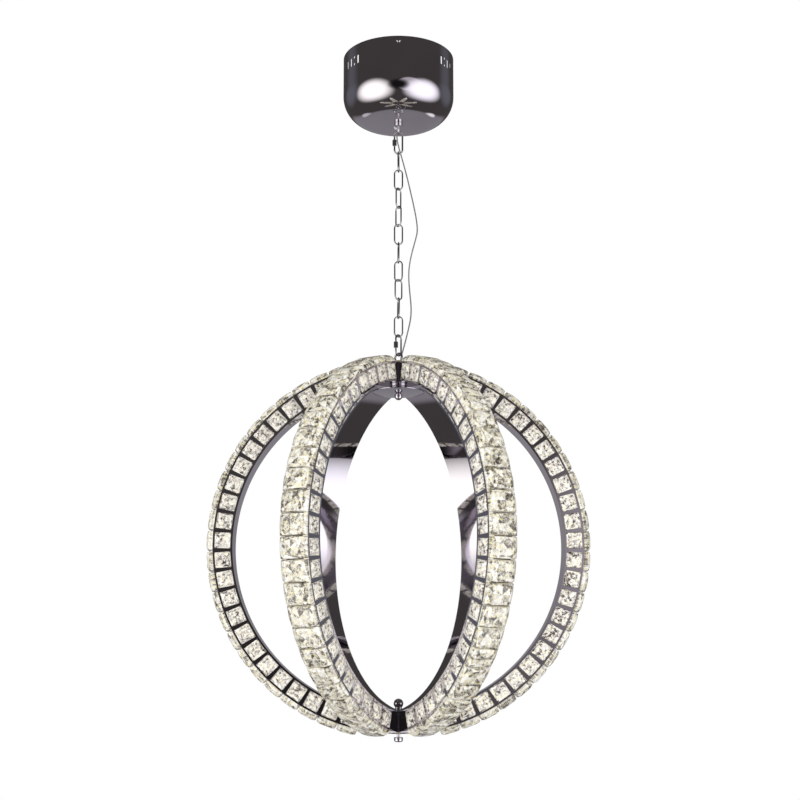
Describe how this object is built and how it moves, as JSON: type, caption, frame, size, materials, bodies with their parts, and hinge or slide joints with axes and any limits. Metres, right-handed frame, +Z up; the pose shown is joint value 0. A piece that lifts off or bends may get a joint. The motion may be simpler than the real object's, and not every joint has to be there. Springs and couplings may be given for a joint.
{
  "type": "orb chandelier",
  "caption": "Chain-hung orb pendant of three crossed crystal-set chrome rings on six-sided hubs, with a deep chrome canopy and a clear power cord.",
  "frame": {"origin": "centre of the canopy's rim in the plane of the ceiling", "axes": "+Z up, -Y towards the viewer, +X to the viewer's right"},
  "size_m": [0.6104, 0.5436, 1.1238],
  "materials": {
    "polished_chrome": "polished mirror chrome on drawn and folded steel",
    "zinc_steel": "bright zinc plate",
    "screw_brass": "plain turned brass",
    "link_steel": "polished chromed wire",
    "sleeve_steel": "turned and plated steel",
    "driver_plastic": "moulded white plastic",
    "terminal_plastic": "natural nylon",
    "gland_plastic": "clear grey nylon",
    "window_crystal": "cut and polished clear crystal",
    "rim_crystal": "cut and polished clear crystal",
    "led_glow": "light strip under a warm silicone cover",
    "clear_cord": "silvery conductor in a clear sheath"
  },
  "bodies": {
    "ceiling": {"mounting_strap": "zinc_steel", "canopy_shell": "polished_chrome", "canopy_screws": "polished_chrome", "earth_screw": "screw_brass", "hanging_rod": "zinc_steel", "rod_nuts": "zinc_steel", "floor_washer": "zinc_steel", "canopy_loop": "polished_chrome", "led_driver": "driver_plastic", "terminal_block": "terminal_plastic", "cord_gland": "gland_plastic"},
    "upper_quick_link": {"quick_link_upper": "link_steel"},
    "upper_sleeve": {"quick_link_upper_sleeve": "sleeve_steel"},
    "link_01": {"chain_link_01": "link_steel"},
    "link_02": {"chain_link_02": "link_steel"},
    "link_03": {"chain_link_03": "link_steel"},
    "link_04": {"chain_link_04": "link_steel"},
    "link_05": {"chain_link_05": "link_steel"},
    "link_06": {"chain_link_06": "link_steel"},
    "link_07": {"chain_link_07": "link_steel"},
    "link_08": {"chain_link_08": "link_steel"},
    "link_09": {"chain_link_09": "link_steel"},
    "link_10": {"chain_link_10": "link_steel"},
    "lower_quick_link": {"quick_link_lower": "link_steel"},
    "lower_sleeve": {"quick_link_lower_sleeve": "sleeve_steel"},
    "orb": {"orb_loop": "link_steel", "top_hub_collar": "polished_chrome", "top_hub_cover": "polished_chrome", "cord_grommet": "gland_plastic", "top_disc_spacer": "polished_chrome", "top_disc": "polished_chrome", "top_ball_nut": "polished_chrome", "bottom_hub_collar": "polished_chrome", "bottom_hub_cover": "polished_chrome", "bottom_ball_nut": "polished_chrome", "bottom_bolt": "polished_chrome", "bottom_cap_nut": "polished_chrome", "hub_screws": "zinc_steel", "led_strips": "led_glow", "power_cord": "clear_cord", "arc_frame_1": "polished_chrome", "arc_frame_2": "polished_chrome", "arc_frame_3": "polished_chrome", "arc_frame_4": "polished_chrome", "arc_frame_5": "polished_chrome", "arc_frame_6": "polished_chrome", "window_crystals_1": "window_crystal", "window_crystals_2": "window_crystal", "window_crystals_3": "window_crystal", "window_crystals_4": "window_crystal", "window_crystals_5": "window_crystal", "window_crystals_6": "window_crystal", "rim_crystals_1": "rim_crystal", "rim_crystals_2": "rim_crystal", "rim_crystals_3": "rim_crystal", "rim_crystals_4": "rim_crystal", "rim_crystals_5": "rim_crystal", "rim_crystals_6": "rim_crystal"}
  },
  "joints": [
    {"name": "upper_quick_link_swing", "type": "hinge", "parent": "ceiling", "child": "upper_quick_link", "pos_m": [0, 0, -0.1274], "axis": [0, 1, 0], "range_deg": [-10, 10], "deforming": ["power_cord"]},
    {"name": "link_01_swing", "type": "hinge", "parent": "upper_quick_link", "child": "link_01", "pos_m": [0, 0, -0.16215], "axis": [1, 0, 0], "range_deg": [-10, 10], "deforming": ["power_cord"]},
    {"name": "link_02_swing", "type": "hinge", "parent": "link_01", "child": "link_02", "pos_m": [0, 0, -0.19305], "axis": [0.0872, 0.9962, 0], "range_deg": [-10, 10], "deforming": ["power_cord"]},
    {"name": "link_03_swing", "type": "hinge", "parent": "link_02", "child": "link_03", "pos_m": [0, 0, -0.22415], "axis": [1, 0, 0], "range_deg": [-10, 10], "deforming": ["power_cord"]},
    {"name": "link_04_swing", "type": "hinge", "parent": "link_03", "child": "link_04", "pos_m": [0, 0, -0.25525], "axis": [0.5736, 0.8192, 0], "range_deg": [-10, 10], "deforming": ["power_cord"]},
    {"name": "link_05_swing", "type": "hinge", "parent": "link_04", "child": "link_05", "pos_m": [0, 0, -0.28635], "axis": [-0.6428, 0.766, 0], "range_deg": [-10, 10], "deforming": ["power_cord"]},
    {"name": "link_06_swing", "type": "hinge", "parent": "link_05", "child": "link_06", "pos_m": [0, 0, -0.31745], "axis": [0.9848, 0.1736, 0], "range_deg": [-10, 10], "deforming": ["power_cord"]},
    {"name": "link_07_swing", "type": "hinge", "parent": "link_06", "child": "link_07", "pos_m": [0, 0, -0.34855], "axis": [-0.0872, 0.9962, 0], "range_deg": [-10, 10], "deforming": ["power_cord"]},
    {"name": "link_08_swing", "type": "hinge", "parent": "link_07", "child": "link_08", "pos_m": [0, 0, -0.37965], "axis": [0.9397, -0.342, 0], "range_deg": [-10, 10], "deforming": ["power_cord"]},
    {"name": "link_09_swing", "type": "hinge", "parent": "link_08", "child": "link_09", "pos_m": [0, 0, -0.41075], "axis": [0.8192, 0.5736, 0], "range_deg": [-10, 10], "deforming": ["power_cord"]},
    {"name": "link_10_swing", "type": "hinge", "parent": "link_09", "child": "link_10", "pos_m": [0, 0, -0.44185], "axis": [-0.1736, 0.9848, 0], "range_deg": [-10, 10], "deforming": ["power_cord"]},
    {"name": "lower_quick_link_swing", "type": "hinge", "parent": "link_10", "child": "lower_quick_link", "pos_m": [0, 0, -0.47295], "axis": [0.9962, 0.0872, 0], "range_deg": [-10, 10], "deforming": ["power_cord"]},
    {"name": "orb_swing", "type": "hinge", "parent": "lower_quick_link", "child": "orb", "pos_m": [0, 0, -0.50425], "axis": [0.6428, 0.766, 0], "range_deg": [-10, 10], "deforming": ["power_cord"]},
    {"name": "upper_sleeve_slide", "type": "slide", "parent": "upper_quick_link", "child": "upper_sleeve", "axis": [0, 0, 1], "range_m": [0, 0.006]},
    {"name": "lower_sleeve_slide", "type": "slide", "parent": "lower_quick_link", "child": "lower_sleeve", "axis": [0, 0, 1], "range_m": [0, 0.0045]}
  ]
}
